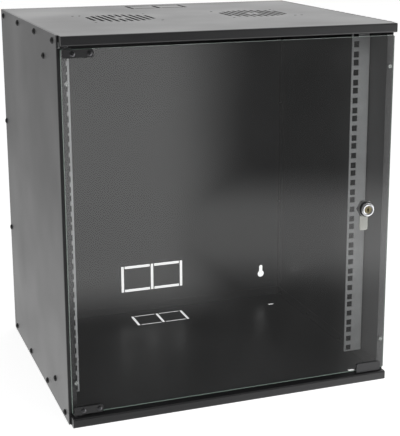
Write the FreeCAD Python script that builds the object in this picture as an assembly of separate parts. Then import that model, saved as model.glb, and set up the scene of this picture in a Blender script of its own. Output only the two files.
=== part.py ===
import FreeCAD, Part
import math
import os

# Wall mount network cabinet, twelve rack units high, with a hinged glass door.
# Frame: x across, y from the door towards the wall, z up; millimetres.
# The origin is the middle of the underside.

Vector = FreeCAD.Vector
X_AXIS = Vector(1, 0, 0)
Y_AXIS = Vector(0, 1, 0)
Z_AXIS = Vector(0, 0, 1)

# ---------------------------------------------------------------- overall sizes
WIDTH = 516.0               # across the outer faces of the side panels
DEPTH = 440.0               # front lips to the back of the rear panel
RACK_UNITS = 12             # height inside, in rack units
RACK_END_GAP = 18.3         # from the rails' ends to the outside of the top and bottom

# ---------------------------------------------------------------- folded sheet
SHEET = 1.2                 # panel thickness
BEND = 1.0                  # inner bend radius
LIP = 14.0                  # front lip height of the top and bottom panels
LIP_RETURN = 13.0           # flange folded back from the lip
LIP_INSET = 3.0             # lip's closed ends, in from the cabinet's sides
SIDE_LIP = 17.0             # flanges that the side panels screw to
REAR_LIP = 17.0             # flanges that close against the rear panel
REAR_PANEL_LIP = 16.0       # rear panel flanges, folded forward
RELIEF = 1.0                # slit left where two folds meet
SETBACK = 15.0              # side panel front edge behind the lip's face
SIDE_FLANGE = 12.0          # side panel flange that the door closes against

# ---------------------------------------------------------------- rack rails
RACK_UNIT = 44.45
UNIT_HOLES = (6.35, 22.225, 38.1)   # hole heights in each unit
RACK_HOLE_SPACING = 465.1   # hole centres across the rack
RACK_OPENING = 450.0        # clear width between the rails
RACK_HOLE = 9.5             # square hole for a cage nut
RAIL_RECESS = 88.0          # rail face behind the lip's face
RAIL_THICKNESS = 2.0
RAIL_WEB = 28.0
RAIL_SCREW_BACK = 15.0      # screw behind the rail's face
RAIL_SCREW_END = 38.0       # screw from the cabinet's top and bottom

# ---------------------------------------------------------------- openings in the panels
WALL_KEYHOLE_SPREAD = 440.0
WALL_KEYHOLE_LOW = 46.0     # lower row, centre of the round part
WALL_KEYHOLE_HIGH = 60.0    # upper row, down from the top
KEYHOLE_ROUND = 13.0
KEYHOLE_SLOT = 7.0
KEYHOLE_RISE = 14.0
REAR_KNOCKOUT_CELL = (57.0, 45.0)
REAR_KNOCKOUT_HEIGHT = 66.0
PLATE_KNOCKOUT_CELL = (47.0, 44.0)
PLATE_KNOCKOUT_BACK = 48.0  # centre line, ahead of the rear face
KNOCKOUT_SLIT = 5.0
KNOCKOUT_TIE = 1.6          # bridge of metal left between two slits
FAN_SPREAD = 222.0          # between the two fan centres
FAN_GRILLE = 110.0
FAN_HOLE_SQUARE = 105.0
FAN_HOLE = 4.5
FAN_HUB = 24.0
GRILLE_PITCH = 10.5
GRILLE_SLOT = 5.0
GRILLE_SLOTS = 10
CABLE_TIE_OFFSET = 11.0     # extra hole outside the fan's corner hole
FLOOR_SLOT_SPREAD = (440.0, 336.0)
FLOOR_SLOT = (12.0, 7.0)

# ---------------------------------------------------------------- panel screws
SCREW_HEAD = 9.5
SCREW_HEAD_RISE = 2.8
SCREW_SHANK = 4.0
SCREW_REACH = 7.0           # shank length under the head
SCREW_EDGE = 9.5            # row's distance from the panel edge
SCREW_ROW = (0.05, 0.345, 0.65, 0.94)   # places along the side panel, from its rear
REAR_SCREW_EDGE = 8.0
REAR_SCREW_HEIGHTS = (1.0 / 3.0, 2.0 / 3.0)
RAIL_SCREW_SHANK = 5.0
RAIL_NUT = 8.0
RAIL_NUT_THICKNESS = 4.0

# ---------------------------------------------------------------- glass door
GLASS = 5.0
GLASS_RECESS = 6.0          # glass face behind the lip's face
GLASS_SIDE_GAP = 4.0        # from the cabinet's side to the glass edge
GLASS_END_GAP = 5.0         # from each lip to the glass edge
GLASS_CORNER = 2.0
HINGE_INSET = 5.0           # pivot axis from the glass edge
HINGE_PLATE = (43.0, 11.5)
HINGE_PLATE_INSET = 2.0
HINGE_PLATE_THICKNESS = 1.8
HINGE_PLATE_CORNER = 3.0
HINGE_PAD = 0.5
HINGE_SCREW_PLACES = (15.5, 39.5)   # from the glass edge
HINGE_SCREW_HEAD = 8.0
HINGE_SCREW_HEAD_RISE = 1.4
HINGE_SCREW_SHANK = 4.0
GLASS_HOLE = 7.0
HINGE_FOLD = 13.0           # width of the ear over the glass edge
HINGE_EAR = 2.0
PIN = 4.0
PIN_FIT = 0.05              # radial running clearance
PIN_SHOULDER = 5.6
PIN_REACH = 6.0             # beyond the lip's flange
BUSH_OUTER = 6.4
BUSH_FLANGE = 8.6
BUSH_FLANGE_THICKNESS = 1.0
MOVING_GAP = 0.3            # between pieces that move past each other
BUMPER = 6.0
BUMPER_HEIGHT_SHARE = 0.116
BUMPER_INSET = (7.5, 4.0)   # from the hinge edge and from the free edge
CLIP = (42.0, 15.0)         # guard on the free lower corner
CLIP_INSET = 6.0
CLIP_WALL = 1.5
CLIP_LIP_GAP = 1.5
CLIP_CORNER = 4.0

# ---------------------------------------------------------------- cam lock
LOCK_INSET = 38.0           # lock axis from the glass edge
LOCK_BEZEL = 22.0
LOCK_BEZEL_RISE = 5.2
LOCK_BEZEL_CHAMFER = 1.6
LOCK_BARREL = 18.0
LOCK_GLASS_HOLE = 19.0
LOCK_GASKET = 0.5
LOCK_GASKET_OUTER = 24.0
LOCK_PLUG = 12.0
LOCK_PLUG_SINK = 0.8        # plug face below the bezel's face
LOCK_NUT = 24.0             # across flats
LOCK_WASHER = 0.5
LOCK_WASHER_OUTER = 25.0
KEYWAY = (1.6, 7.0, 6.0)    # width, length, depth
CAM_WIDTH = 14.0
CAM_LENGTH = 36.0           # axis to tip
CAM_THICKNESS = 2.0
CAM_CLEARANCE = 0.5         # behind the side panel's flange
CAM_SQUARE = 7.0
CAM_SCREW_HEAD = 10.0
CAM_SCREW_RISE = 2.4
CAM_SCREW_SHANK = 5.0
CAM_THREAD = 5.0            # screw length under the head

# ---------------------------------------------------------------- derived places
FRONT = -DEPTH / 2
REAR = DEPTH / 2
SIDE = WIDTH / 2
INNER_SIDE = SIDE - SHEET
LIP_END = SIDE - LIP_INSET
SIDE_FRONT = FRONT + SETBACK
FLANGE_BACK = SIDE_FRONT + SHEET
RAIL_FACE = FRONT + RAIL_RECESS
RACK_HEIGHT = RACK_UNITS * RACK_UNIT
HEIGHT = RACK_HEIGHT + 2 * RACK_END_GAP
GLASS_FRONT = FRONT + GLASS_RECESS
GLASS_BACK = GLASS_FRONT + GLASS
GLASS_EDGE = SIDE - GLASS_SIDE_GAP
GLASS_LOW = LIP + GLASS_END_GAP
GLASS_HIGH = HEIGHT - GLASS_LOW
HINGE_X = -GLASS_EDGE + HINGE_INSET
HINGE_Y = GLASS_FRONT + GLASS / 2
LOCK_X = GLASS_EDGE - LOCK_INSET
LOCK_Z = HEIGHT / 2
CAM_FRONT = FLANGE_BACK + CAM_CLEARANCE
BEZEL_FACE = GLASS_FRONT - LOCK_GASKET - LOCK_BEZEL_RISE
BARREL_END = CAM_FRONT - MOVING_GAP


# ---------------------------------------------------------------- shape helpers
def box(x, y, z):
    """Block between the pairs of bounds x, y and z."""
    size = [high - low for low, high in (x, y, z)]
    return Part.makeBox(*size, Vector(x[0], y[0], z[0]))


def rod(diameter, start, axis, length):
    return Part.makeCylinder(diameter / 2, length, Vector(*start), axis)


def tube(outer, inner, start, axis, length):
    return rod(outer, start, axis, length).cut(rod(inner, start, axis, length))


def left_of(step):
    return Vector(-step.y, step.x, 0)


def folded_section(points, thickness, side):
    """Face of one sheet folded along a line of points in the xy plane.

    The points follow one skin of the sheet; side is +1 when the metal lies to the
    left of the line and -1 when it lies to the right.  Each bend is a round arc.
    """
    line = [Vector(x, y, 0) for x, y in points]
    steps = [(b - a).normalize() for a, b in zip(line, line[1:])]
    near = [line[0]]
    far = [line[0] + left_of(steps[0]) * side * thickness]
    arcs = []
    for corner, before, after in zip(line[1:-1], steps, steps[1:]):
        turn = before.x * after.y - before.y * after.x
        radius = BEND + thickness if turn * side > 0 else BEND
        centre = corner - before * radius + left_of(before) * math.copysign(radius, turn)
        outward = (corner - centre).normalize()
        other = radius - thickness if turn * side > 0 else radius + thickness
        for skin, size in ((near, radius), (far, other)):
            start = centre - left_of(before) * math.copysign(size, turn)
            end = centre - left_of(after) * math.copysign(size, turn)
            skin.extend([start, end])
            arcs.append((start, centre + outward * size, end))
    near.append(line[-1])
    far.append(line[-1] + left_of(steps[-1]) * side * thickness)
    edges = [Part.Arc(*arc).toShape() for arc in arcs]
    for skin in (near, far):
        edges += [Part.makeLine(a, b) for a, b in zip(skin[0::2], skin[1::2])]
    edges.append(Part.makeLine(near[0], far[0]))
    edges.append(Part.makeLine(near[-1], far[-1]))
    return Part.Face(Part.Wire(Part.__sortEdges__(edges)))


def folded_upright(points, thickness, side, low, high):
    """Sheet folded about upright lines: the section is in plan."""
    face = folded_section(points, thickness, side)
    face.translate(Vector(0, 0, low))
    return face.extrude(Vector(0, 0, high - low))


def folded_across(points, thickness, side, half_width):
    """Sheet folded about lines that run across: points are (y, z)."""
    face = folded_section(points, thickness, side)
    to_side_view = FreeCAD.Placement(Vector(-half_width, 0, 0), FreeCAD.Rotation(1, 1, 1, 1))
    face.transformShape(to_side_view.toMatrix())
    return face.extrude(Vector(2 * half_width, 0, 0))


def folded_lengthwise(points, thickness, side, start, end):
    """Sheet folded about lines that run front to back: points are (x, z)."""
    face = folded_section(points, thickness, side)
    face.rotate(Vector(0, 0, 0), X_AXIS, 90)
    face.translate(Vector(0, start, 0))
    return face.extrude(Vector(0, end - start, 0))


def mirror_side(shape):
    return shape.mirror(Vector(0, 0, 0), X_AXIS)


def mirror_end(shape):
    return shape.mirror(Vector(0, 0, HEIGHT / 2), Z_AXIS)


def cut_all(shape, tools):
    return shape.cut(Part.makeCompound(tools)).removeSplitter() if tools else shape


def fused(shapes):
    return shapes[0].multiFuse(shapes[1:]).removeSplitter()


def rounded_plate(x, z, y, radius, corners):
    """Upright plate; corners lists the (x, z) corners to round about y."""
    plate = box(x, y, z)
    chosen = []
    for edge in plate.Edges:
        middle = edge.CenterOfMass
        upright = abs(edge.Vertexes[0].Point.y - edge.Vertexes[-1].Point.y) > 1e-6
        if upright and any(math.hypot(middle.x - a, middle.z - b) < 1e-6 for a, b in corners):
            chosen.append(edge)
    return plate.makeFillet(radius, chosen)


def pan_screw(head, rise, shank, reach):
    """Screw along -z with its head's seat at z = 0."""
    return fused([rod(head, (0, 0, 0), Z_AXIS, rise), rod(shank, (0, 0, -reach), Z_AXIS, reach)])


def hexagon(flats, thickness):
    corners = [Vector(flats / math.sqrt(3), 0, 0)]
    for index in range(1, 7):
        angle = math.radians(60 * index)
        corners.append(Vector(math.cos(angle), math.sin(angle), 0) * (flats / math.sqrt(3)))
    return Part.Face(Part.makePolygon(corners)).extrude(Vector(0, 0, thickness))


def aimed(shape, direction, place):
    """Copy with its own +z turned to direction and moved to place."""
    copy = shape.copy()
    copy.Placement = FreeCAD.Placement(Vector(*place), FreeCAD.Rotation(Z_AXIS, direction))
    return copy


# ---------------------------------------------------------------- cut-outs
def knockout_slits(cell, low, high):
    """Slits round two side by side cells, centred on z's axis, cut from low to high."""
    half_slit = KNOCKOUT_SLIT / 2
    half_deep = cell[1] / 2
    slits = []
    for line in (-1, 0, 1):
        middle = line * cell[0]
        slits.append(box((middle - half_slit, middle + half_slit),
                         (-half_deep - half_slit, half_deep + half_slit), (low, high)))
    end = half_slit + KNOCKOUT_TIE
    for side in (-1, 1):
        for column in (-1, 0):
            start = column * cell[0]
            slits.append(box((start + end, start + cell[0] - end),
                             (side * half_deep - half_slit, side * half_deep + half_slit),
                             (low, high)))
    return slits


def round_ended_slot(length, width, low, high):
    """Slot along x, centred on z's axis."""
    reach = (length - width) / 2
    body = box((-reach, reach), (-width / 2, width / 2), (low, high))
    ends = [rod(width, (side * reach, 0, low), Z_AXIS, high - low) for side in (-1, 1)]
    return body.multiFuse(ends)


def grille_slots(low, high):
    """Slots of a round fan grille, running front to back, clear of a solid hub."""
    slots = []
    for index in range(GRILLE_SLOTS):
        offset = (index - (GRILLE_SLOTS - 1) / 2) * GRILLE_PITCH
        reach = math.sqrt((FAN_GRILLE / 2) ** 2 - offset ** 2) - GRILLE_SLOT / 4
        spans = [(-reach, reach)]
        if abs(offset) < FAN_HUB / 2:
            hub = math.sqrt((FAN_HUB / 2) ** 2 - offset ** 2) + GRILLE_SLOT / 4
            spans = [(-reach, -hub), (hub, reach)]
        across = (offset - GRILLE_SLOT / 2, offset + GRILLE_SLOT / 2)
        slots += [box(across, span, (low, high)) for span in spans]
    return slots


def screw_row_places():
    """Places of the side panel's long rows of screws, along y."""
    length = REAR - SIDE_FRONT
    return [REAR - share * length for share in SCREW_ROW]


def panel_screw_places():
    """(y, z) of each screw that holds a side panel."""
    rows = [(y, z) for y in screw_row_places() for z in (SCREW_EDGE, HEIGHT - SCREW_EDGE)]
    rear = [(REAR - REAR_SCREW_EDGE, share * HEIGHT) for share in REAR_SCREW_HEIGHTS]
    return rows + rear


def rail_screw_places():
    y = RAIL_FACE + RAIL_SCREW_BACK
    return [(y, z) for z in (RAIL_SCREW_END, HEIGHT - RAIL_SCREW_END)]


def side_drills(places, diameter):
    """Drills through the left side of the cabinet."""
    start = -SIDE - 1
    return [rod(diameter, (start, y, z), X_AXIS, 12) for y, z in places]


# ---------------------------------------------------------------- casing
def lip_cap():
    """Plate that closes the left end of a lip, welded on and ground flush."""
    plate = box((-LIP_END, -LIP_END + SHEET), (FRONT, FRONT + LIP_RETURN), (0, LIP))
    bends = [edge for edge in plate.Edges
             if abs(edge.CenterOfMass.y - FRONT) < 1e-6
             and abs(edge.CenterOfMass.z - LIP / 2) > LIP / 2 - 1e-6]
    return plate.makeFillet(BEND + SHEET, bends)


def tray():
    """Bottom panel blank: plate with a boxed front lip and three upturned edges."""
    plate_end = REAR - SHEET
    body = folded_across(
        [(FRONT + LIP_RETURN, LIP), (FRONT, LIP), (FRONT, 0), (plate_end, 0), (plate_end, REAR_LIP)],
        SHEET, 1, INNER_SIDE)
    strip = 8.0
    end = plate_end - SHEET - RELIEF
    edge = folded_lengthwise(
        [(-INNER_SIDE + strip, 0), (-INNER_SIDE, 0), (-INNER_SIDE, SIDE_LIP)],
        SHEET, -1, SIDE_FRONT, end)
    room = box((-INNER_SIDE, -INNER_SIDE + strip), (SIDE_FRONT, end), (-1, SHEET + 1))
    lip_room = box((-SIDE, -LIP_END + SHEET), (FRONT - 1, SIDE_FRONT), (-1, LIP + 1))
    body = cut_all(body, [room, mirror_side(room), lip_room, mirror_side(lip_room)])
    plate_corner = box((-LIP_END, -LIP_END + SHEET), (FRONT + LIP_RETURN - 1, SIDE_FRONT),
                       (0, SHEET))
    left = [edge, lip_cap(), plate_corner]
    body = fused([body] + left + [mirror_side(piece) for piece in left])
    row = [(y, SCREW_EDGE) for y in screw_row_places()]
    drills = side_drills(row, SCREW_SHANK)
    drills += [mirror_side(drill) for drill in drills]
    drills.append(rod(BUSH_OUTER, (HINGE_X, HINGE_Y, LIP - SHEET - 1), Z_AXIS, SHEET + 2))
    return cut_all(body, drills)


def bottom_panel():
    slots = []
    for x in (-1, 1):
        for y in (-1, 1):
            slot = round_ended_slot(FLOOR_SLOT[0], FLOOR_SLOT[1], -1, SHEET + 1)
            slot.translate(Vector(x * FLOOR_SLOT_SPREAD[0] / 2, y * FLOOR_SLOT_SPREAD[1] / 2, 0))
            slots.append(slot)
    return cut_all(tray(), slots + plate_knockout(-1, SHEET + 1))


def plate_knockout(low, high):
    slits = knockout_slits(PLATE_KNOCKOUT_CELL, low, high)
    for slit in slits:
        slit.translate(Vector(0, REAR - PLATE_KNOCKOUT_BACK, 0))
    return slits


def top_panel():
    low = HEIGHT - SHEET - 1
    high = HEIGHT + 1
    cuts = plate_knockout(low, high)
    for side in (-1, 1):
        middle = side * FAN_SPREAD / 2
        half = FAN_HOLE_SQUARE / 2
        for slot in grille_slots(low, high):
            slot.translate(Vector(middle, 0, 0))
            cuts.append(slot)
        for x in (-half, half):
            for y in (-half, half):
                cuts.append(rod(FAN_HOLE, (middle + x, y, low), Z_AXIS, high - low))
        extra = (middle + side * (half + CABLE_TIE_OFFSET), -side * half, low)
        cuts.append(rod(FAN_HOLE, extra, Z_AXIS, high - low))
    return cut_all(mirror_end(tray()), cuts)


def left_side_panel():
    panel = folded_upright(
        [(-SIDE, REAR), (-SIDE, SIDE_FRONT), (-SIDE + SIDE_FLANGE, SIDE_FRONT)],
        SHEET, 1, 0, HEIGHT)
    notch = box((-INNER_SIDE, -SIDE + SIDE_FLANGE + 1), (SIDE_FRONT - 1, FLANGE_BACK + BEND + 1),
                (-1, SIDE_LIP + RELIEF))
    drills = side_drills(panel_screw_places(), SCREW_SHANK)
    drills += side_drills(rail_screw_places(), RAIL_SCREW_SHANK)
    return cut_all(panel, [notch, mirror_end(notch)] + drills)


def rear_panel():
    panel = folded_upright(
        [(-INNER_SIDE, REAR - REAR_PANEL_LIP), (-INNER_SIDE, REAR), (INNER_SIDE, REAR),
         (INNER_SIDE, REAR - REAR_PANEL_LIP)],
        SHEET, -1, 0, HEIGHT)
    notch = box((-INNER_SIDE - 1, INNER_SIDE + 1), (REAR - REAR_PANEL_LIP - 1, REAR - SHEET),
                (-1, SIDE_LIP + RELIEF))
    cuts = [notch, mirror_end(notch)]
    for slit in knockout_slits(REAR_KNOCKOUT_CELL, -1, SHEET + 1):
        slit.rotate(Vector(0, 0, 0), X_AXIS, -90)
        slit.translate(Vector(0, REAR - SHEET, REAR_KNOCKOUT_HEIGHT))
        cuts.append(slit)
    for x in (-WALL_KEYHOLE_SPREAD / 2, WALL_KEYHOLE_SPREAD / 2):
        for z in (WALL_KEYHOLE_LOW, HEIGHT - WALL_KEYHOLE_HIGH):
            cuts.append(keyhole(x, z))
    rear_drills = side_drills([(REAR - REAR_SCREW_EDGE, share * HEIGHT)
                               for share in REAR_SCREW_HEIGHTS], SCREW_SHANK)
    return cut_all(panel, cuts + rear_drills + [mirror_side(drill) for drill in rear_drills])


def keyhole(x, z):
    """Hanging hole: the round part takes the screw head, the slot above holds it."""
    start = REAR - SHEET - 1
    length = SHEET + 2
    half = KEYHOLE_SLOT / 2
    neck = box((x - half, x + half), (start, start + length), (z, z + KEYHOLE_RISE))
    return fused([rod(KEYHOLE_ROUND, (x, start, z), Y_AXIS, length), neck,
                  rod(KEYHOLE_SLOT, (x, start, z + KEYHOLE_RISE), Y_AXIS, length)])


def left_rail():
    """Angle that carries the equipment: pierced face, web along the side panel."""
    rail = folded_upright(
        [(-RACK_OPENING / 2, RAIL_FACE), (-INNER_SIDE, RAIL_FACE),
         (-INNER_SIDE, RAIL_FACE + RAIL_WEB)],
        RAIL_THICKNESS, -1, RACK_END_GAP, RACK_END_GAP + RACK_HEIGHT)
    half = RACK_HOLE / 2
    x = -RACK_HOLE_SPACING / 2
    holes = []
    for unit in range(RACK_UNITS):
        for rise in UNIT_HOLES:
            z = RACK_END_GAP + unit * RACK_UNIT + rise
            holes.append(box((x - half, x + half), (RAIL_FACE - 1, RAIL_FACE + RAIL_THICKNESS + 1),
                             (z - half, z + half)))
    return cut_all(rail, holes + side_drills(rail_screw_places(), RAIL_SCREW_SHANK))


def left_screws(places, shank, reach):
    screw = pan_screw(SCREW_HEAD, SCREW_HEAD_RISE, shank, reach)
    return [aimed(screw, Vector(-1, 0, 0), (-SIDE, y, z)) for y, z in places]


def left_rail_nuts():
    seat = -INNER_SIDE + RAIL_THICKNESS
    nut = hexagon(RAIL_NUT, RAIL_NUT_THICKNESS)
    nut = nut.cut(rod(RAIL_SCREW_SHANK, (0, 0, -1), Z_AXIS, RAIL_NUT_THICKNESS + 2))
    return [aimed(nut, X_AXIS, (seat, y, z)) for y, z in rail_screw_places()]


# ---------------------------------------------------------------- door
def hinge_screw_places():
    """(x, z) of the upper hinge's two screws."""
    z = GLASS_HIGH - HINGE_PLATE[1] / 2
    return [(-GLASS_EDGE + place, z) for place in HINGE_SCREW_PLACES]


def hinge_plate_span():
    start = -GLASS_EDGE + HINGE_PLATE_INSET
    return (start, start + HINGE_PLATE[0]), (GLASS_HIGH - HINGE_PLATE[1], GLASS_HIGH)


def hinge_drills(diameter):
    return [rod(diameter, (x, FRONT, z), Y_AXIS, SETBACK + 20) for x, z in hinge_screw_places()]


def glass_door():
    corners = [(x, z) for x in (-GLASS_EDGE, GLASS_EDGE) for z in (GLASS_LOW, GLASS_HIGH)]
    pane = rounded_plate((-GLASS_EDGE, GLASS_EDGE), (GLASS_LOW, GLASS_HIGH),
                         (GLASS_FRONT, GLASS_BACK), GLASS_CORNER, corners)
    upper = hinge_drills(GLASS_HOLE)
    lock = rod(LOCK_GLASS_HOLE, (LOCK_X, FRONT, LOCK_Z), Y_AXIS, SETBACK + 20)
    return cut_all(pane, upper + [mirror_end(drill) for drill in upper] + [lock])


def upper_hinge_front_plate():
    x, z = hinge_plate_span()
    back = GLASS_FRONT - HINGE_PAD
    plate = rounded_plate(x, z, (back - HINGE_PLATE_THICKNESS, back), HINGE_PLATE_CORNER,
                          [(x[1], z[0]), (x[1], z[1])])
    return cut_all(plate, hinge_drills(HINGE_SCREW_SHANK))


def upper_hinge_bracket():
    """Rear clamp plate, the ear over the glass edge and the pivot pin."""
    x, z = hinge_plate_span()
    front = GLASS_BACK + HINGE_PAD
    ear_low = GLASS_HIGH + HINGE_PAD
    ear_high = ear_low + HINGE_EAR
    plate = rounded_plate(x, z, (front, front + HINGE_PLATE_THICKNESS), HINGE_PLATE_CORNER,
                          [(x[1], z[0]), (x[1], z[1])])
    riser = box((x[0], x[0] + HINGE_FOLD), (front, front + HINGE_PLATE_THICKNESS),
                (z[0], ear_high))
    ear = box((x[0], x[0] + HINGE_FOLD), (GLASS_FRONT, front + HINGE_PLATE_THICKNESS),
              (ear_low, ear_high))
    flange_under = HEIGHT - LIP
    shoulder_top = flange_under - BUSH_FLANGE_THICKNESS - MOVING_GAP
    shoulder = rod(PIN_SHOULDER, (HINGE_X, HINGE_Y, ear_high), Z_AXIS, shoulder_top - ear_high)
    pin = rod(PIN, (HINGE_X, HINGE_Y, ear_high), Z_AXIS, flange_under + PIN_REACH - ear_high)
    pin = pin.makeChamfer(0.6, [edge for edge in pin.Edges
                                if edge.CenterOfMass.z > flange_under + PIN_REACH - 1e-6])
    return cut_all(fused([plate, riser, ear, shoulder, pin]), hinge_drills(HINGE_SCREW_SHANK))


def upper_hinge_pads():
    x, z = hinge_plate_span()
    low = (z[0], z[1])
    pads = []
    for start in (GLASS_FRONT - HINGE_PAD, GLASS_BACK):
        pad = rounded_plate(x, low, (start, start + HINGE_PAD), HINGE_PLATE_CORNER,
                            [(x[1], z[0]), (x[1], z[1])])
        pads.append(cut_all(pad, hinge_drills(HINGE_SCREW_SHANK)))
    return pads


def upper_hinge_screws():
    seat = GLASS_FRONT - HINGE_PAD - HINGE_PLATE_THICKNESS
    reach = GLASS + 2 * HINGE_PAD + 2 * HINGE_PLATE_THICKNESS
    screw = pan_screw(HINGE_SCREW_HEAD, HINGE_SCREW_HEAD_RISE, HINGE_SCREW_SHANK, reach)
    return [aimed(screw, Vector(0, -1, 0), (x, seat, z)) for x, z in hinge_screw_places()]


def upper_hinge_bush():
    """Flanged bush pressed up into the lip's flange."""
    under = HEIGHT - LIP
    bore = PIN + 2 * PIN_FIT
    sleeve = rod(BUSH_OUTER, (HINGE_X, HINGE_Y, under - 0.1), Z_AXIS, SHEET + 1.1)
    collar = rod(BUSH_FLANGE, (HINGE_X, HINGE_Y, under - BUSH_FLANGE_THICKNESS), Z_AXIS,
                 BUSH_FLANGE_THICKNESS)
    hole = rod(bore, (HINGE_X, HINGE_Y, under - 5), Z_AXIS, 20)
    return fused([sleeve, collar]).cut(hole)


def door_bumpers():
    """Clear studs on the back of the glass that meet the side panels' flanges."""
    height = SIDE_FRONT - GLASS_BACK - MOVING_GAP
    studs = []
    for side, inset in zip((-1, 1), BUMPER_INSET):
        for z in (BUMPER_HEIGHT_SHARE * HEIGHT, (1 - BUMPER_HEIGHT_SHARE) * HEIGHT):
            base = (side * (GLASS_EDGE - inset), GLASS_BACK, z)
            studs.append(rod(BUMPER, base, Y_AXIS, height))
    return studs


def door_corner_clip():
    """Channel that guards the free lower corner of the glass."""
    right = GLASS_EDGE - CLIP_INSET
    x = (right - CLIP[0], right)
    z = (LIP + CLIP_LIP_GAP, LIP + CLIP_LIP_GAP + CLIP[1])
    upper = [(x[0], z[1]), (x[1], z[1])]
    walls = [rounded_plate(x, z, (start, start + CLIP_WALL), CLIP_CORNER, upper)
             for start in (GLASS_FRONT - CLIP_WALL, GLASS_BACK)]
    web = box(x, (GLASS_FRONT - CLIP_WALL, GLASS_BACK + CLIP_WALL), (z[0], GLASS_LOW))
    return fused(walls + [web])


# ---------------------------------------------------------------- cam lock
def lock_rod(diameter, start, end):
    return rod(diameter, (LOCK_X, start, LOCK_Z), Y_AXIS, end - start)


def lock_body():
    """Bezel and threaded barrel in one casting, bored for the plug."""
    seat = GLASS_FRONT - LOCK_GASKET
    bezel = lock_rod(LOCK_BEZEL, BEZEL_FACE, seat)
    bezel = bezel.makeChamfer(LOCK_BEZEL_CHAMFER, [edge for edge in bezel.Edges
                                                   if edge.CenterOfMass.y < BEZEL_FACE + 1e-6])
    barrel = lock_rod(LOCK_BARREL, seat, BARREL_END)
    bore = lock_rod(LOCK_PLUG + 2 * PIN_FIT, BEZEL_FACE - 1, BARREL_END + 1)
    return fused([bezel, barrel]).cut(bore)


def lock_gasket():
    start = GLASS_FRONT - LOCK_GASKET
    return lock_rod(LOCK_GASKET_OUTER, start, GLASS_FRONT).cut(
        lock_rod(LOCK_BARREL, start, GLASS_FRONT))


def lock_washer():
    end = GLASS_BACK + LOCK_WASHER
    return lock_rod(LOCK_WASHER_OUTER, GLASS_BACK, end).cut(
        lock_rod(LOCK_BARREL, GLASS_BACK, end))


def lock_nut():
    start = GLASS_BACK + LOCK_WASHER
    end = BARREL_END - MOVING_GAP
    nut = aimed(hexagon(LOCK_NUT, end - start), Y_AXIS, (LOCK_X, start, LOCK_Z))
    return nut.cut(lock_rod(LOCK_BARREL, start, end))


def lock_plug():
    """Key cylinder with a square tail for the cam."""
    face = BEZEL_FACE + LOCK_PLUG_SINK
    width, length, depth = KEYWAY
    half = CAM_SQUARE / 2
    tail = box((LOCK_X - half, LOCK_X + half), (CAM_FRONT, CAM_FRONT + CAM_THICKNESS),
               (LOCK_Z - half, LOCK_Z + half))
    keyway = box((LOCK_X - width / 2, LOCK_X + width / 2), (face - 1, face + depth),
                 (LOCK_Z - length / 2, LOCK_Z + length / 2))
    keyhole_round = lock_rod(2.2 * width, face - 1, face + depth)
    seat = CAM_FRONT + CAM_THICKNESS
    thread = lock_rod(CAM_SCREW_SHANK, seat - CAM_THREAD, seat + 1)
    body = fused([lock_rod(LOCK_PLUG, face, CAM_FRONT), tail])
    return body.cut(fused([keyway, keyhole_round])).cut(thread)


def lock_cam():
    """Flat tongue that hangs down when unlocked and turns behind the side flange."""
    y = (CAM_FRONT, CAM_FRONT + CAM_THICKNESS)
    half = CAM_WIDTH / 2
    square = CAM_SQUARE / 2
    tongue = rounded_plate((LOCK_X - half, LOCK_X + half), (LOCK_Z - CAM_LENGTH, LOCK_Z), y, 3.0,
                           [(LOCK_X - half, LOCK_Z - CAM_LENGTH),
                            (LOCK_X + half, LOCK_Z - CAM_LENGTH)])
    eye = lock_rod(CAM_WIDTH, *y)
    hole = box((LOCK_X - square, LOCK_X + square), (y[0] - 1, y[1] + 1),
               (LOCK_Z - square, LOCK_Z + square))
    return fused([tongue, eye]).cut(hole)


def cam_screw():
    seat = CAM_FRONT + CAM_THICKNESS
    screw = pan_screw(CAM_SCREW_HEAD, CAM_SCREW_RISE, CAM_SCREW_SHANK, CAM_THREAD)
    return aimed(screw, Y_AXIS, (LOCK_X, seat, LOCK_Z))


# ---------------------------------------------------------------- assembly
def as_list(shape):
    return list(shape) if isinstance(shape, (list, tuple)) else [shape]


def add_pair(nodes, names, shape, mirror):
    """Store a piece under the first name and its mirror image under the second."""
    pieces = as_list(shape)
    nodes[names[0]] = pieces
    nodes[names[1]] = [mirror(piece) for piece in pieces]


def build():
    nodes = {
        "bottom_panel": as_list(bottom_panel()),
        "top_panel": as_list(top_panel()),
        "rear_panel": as_list(rear_panel()),
        "glass_door": as_list(glass_door()),
        "door_bumpers": door_bumpers(),
        "door_corner_clip": as_list(door_corner_clip()),
        "lock_body": as_list(lock_body()),
        "lock_gasket": as_list(lock_gasket()),
        "lock_washer": as_list(lock_washer()),
        "lock_nut": as_list(lock_nut()),
        "lock_plug": as_list(lock_plug()),
        "lock_cam": as_list(lock_cam()),
        "cam_screw": as_list(cam_screw()),
    }
    rail_reach = SHEET + RAIL_THICKNESS + RAIL_NUT_THICKNESS + 1
    sided = {
        "side_panel": left_side_panel(),
        "rail": left_rail(),
        "panel_screws": left_screws(panel_screw_places(), SCREW_SHANK, SCREW_REACH),
        "rail_screws": left_screws(rail_screw_places(), RAIL_SCREW_SHANK, rail_reach),
        "rail_nuts": left_rail_nuts(),
    }
    for name, shape in sided.items():
        add_pair(nodes, ("left_" + name, "right_" + name), shape, mirror_side)
    hinged = {
        "hinge_front_plate": upper_hinge_front_plate(),
        "hinge_bracket": upper_hinge_bracket(),
        "hinge_pads": upper_hinge_pads(),
        "hinge_screws": upper_hinge_screws(),
        "hinge_bush": upper_hinge_bush(),
    }
    for name, shape in hinged.items():
        add_pair(nodes, ("upper_" + name, "lower_" + name), shape, mirror_end)
    return nodes


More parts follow.
